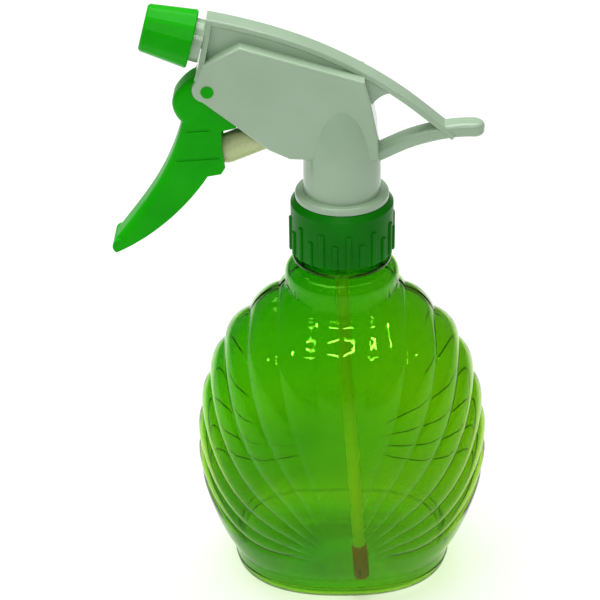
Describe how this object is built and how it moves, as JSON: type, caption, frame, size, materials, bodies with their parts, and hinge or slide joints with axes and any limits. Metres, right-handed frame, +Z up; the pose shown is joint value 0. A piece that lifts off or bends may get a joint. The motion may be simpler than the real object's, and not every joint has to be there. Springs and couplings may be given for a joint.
{
  "type": "hand mister",
  "caption": "Trigger spray bottle for misting plants: clear scallop-shell bottle, ribbed screw collar, white pump head with finger rest, green trigger and adjustable nozzle.",
  "frame": {"origin": "centre of the bottle's base, on the plane it stands on", "axes": "+Z up along the neck's axis; the nozzle points towards -X and the finger rest towards +X; the broad faces of the bottle look along -Y and +Y"},
  "size_m": [0.1254, 0.071, 0.2113],
  "materials": {
    "bottle_pet": "clear green blown PET, glossy",
    "collar_green": "dark green moulded polypropylene, satin gloss",
    "head_white": "off-white moulded polypropylene, satin",
    "trigger_green": "bright green moulded polypropylene, satin gloss",
    "plunger_cream": "cream moulded polyethylene",
    "natural_plastic": "natural translucent polyethylene",
    "filter_brown": "red-brown moulded plastic",
    "spring_steel": "drawn stainless wire",
    "ball_steel": "polished stainless",
    "seal_rubber": "soft white elastomer"
  },
  "bodies": {
    "bottle": {"bottle": "bottle_pet", "neck_finish": "bottle_pet"},
    "head": {"head_body": "head_white", "swivel_ring": "natural_plastic", "neck_gasket": "seal_rubber", "pump_cylinder": "natural_plastic", "spring_seat": "natural_plastic", "return_spring": "spring_steel", "valve_housing": "natural_plastic", "ball_cage": "natural_plastic", "dip_tube": "natural_plastic", "intake_filter": "filter_brown", "nozzle_barrel": "head_white", "discharge_spring": "spring_steel", "swirl_core": "natural_plastic"},
    "collar": {"screw_collar": "collar_green"},
    "trigger": {"trigger": "trigger_green"},
    "plunger": {"plunger": "plunger_cream", "piston_seal": "seal_rubber"},
    "intake_ball": {"intake_ball": "ball_steel"},
    "discharge_valve": {"discharge_valve": "natural_plastic"},
    "nozzle_carrier": {"nozzle_seal": "seal_rubber"},
    "nozzle": {"nozzle_cap": "trigger_green", "orifice_disc": "trigger_green"}
  },
  "joints": [
    {"name": "head_rise", "type": "slide", "parent": "bottle", "child": "head", "axis": [0, 0, 1], "range_m": [0, 0.00635]},
    {"name": "collar_unscrew", "type": "hinge", "parent": "head", "child": "collar", "pos_m": [0, 0, 0.135], "axis": [0, 0, 1], "range_deg": [0, 540]},
    {"name": "trigger_squeeze", "type": "hinge", "parent": "head", "child": "trigger", "pos_m": [-0.0422, 0, 0.1857], "axis": [0, -1, 0], "range_deg": [0, 20], "stiffness_Nm_per_rad": 0.4, "springref_deg": -17.19},
    {"name": "plunger_stroke", "type": "slide", "parent": "head", "child": "plunger", "axis": [0.9205, 0, 0.3907], "range_m": [0, 0.00834], "deforming": ["return_spring"]},
    {"name": "intake_ball_lift", "type": "slide", "parent": "head", "child": "intake_ball", "axis": [0, 0, 1], "range_m": [0, 0.0015]},
    {"name": "discharge_valve_open", "type": "slide", "parent": "head", "child": "discharge_valve", "axis": [-0.9659, 0, 0.2588], "range_m": [0, 0.0008], "stiffness_N_per_m": 8, "springref_m": -0.004, "deforming": ["discharge_spring"]},
    {"name": "nozzle_advance", "type": "slide", "parent": "head", "child": "nozzle_carrier", "axis": [-0.9659, 0, 0.2588], "range_m": [0, 0.00187]},
    {"name": "nozzle_twist", "type": "hinge", "parent": "nozzle_carrier", "child": "nozzle", "pos_m": [-0.0439, 0, 0.19935], "axis": [-0.9659, 0, 0.2588], "range_deg": [0, 270]}
  ],
  "couplings": [
    {"joint": "collar_unscrew", "follows": "head_rise", "rad_per_m": 1484.2},
    {"joint": "trigger_squeeze", "follows": "plunger_stroke", "rad_per_m": 41.84},
    {"joint": "nozzle_twist", "follows": "nozzle_advance", "rad_per_m": 2513.2}
  ]
}
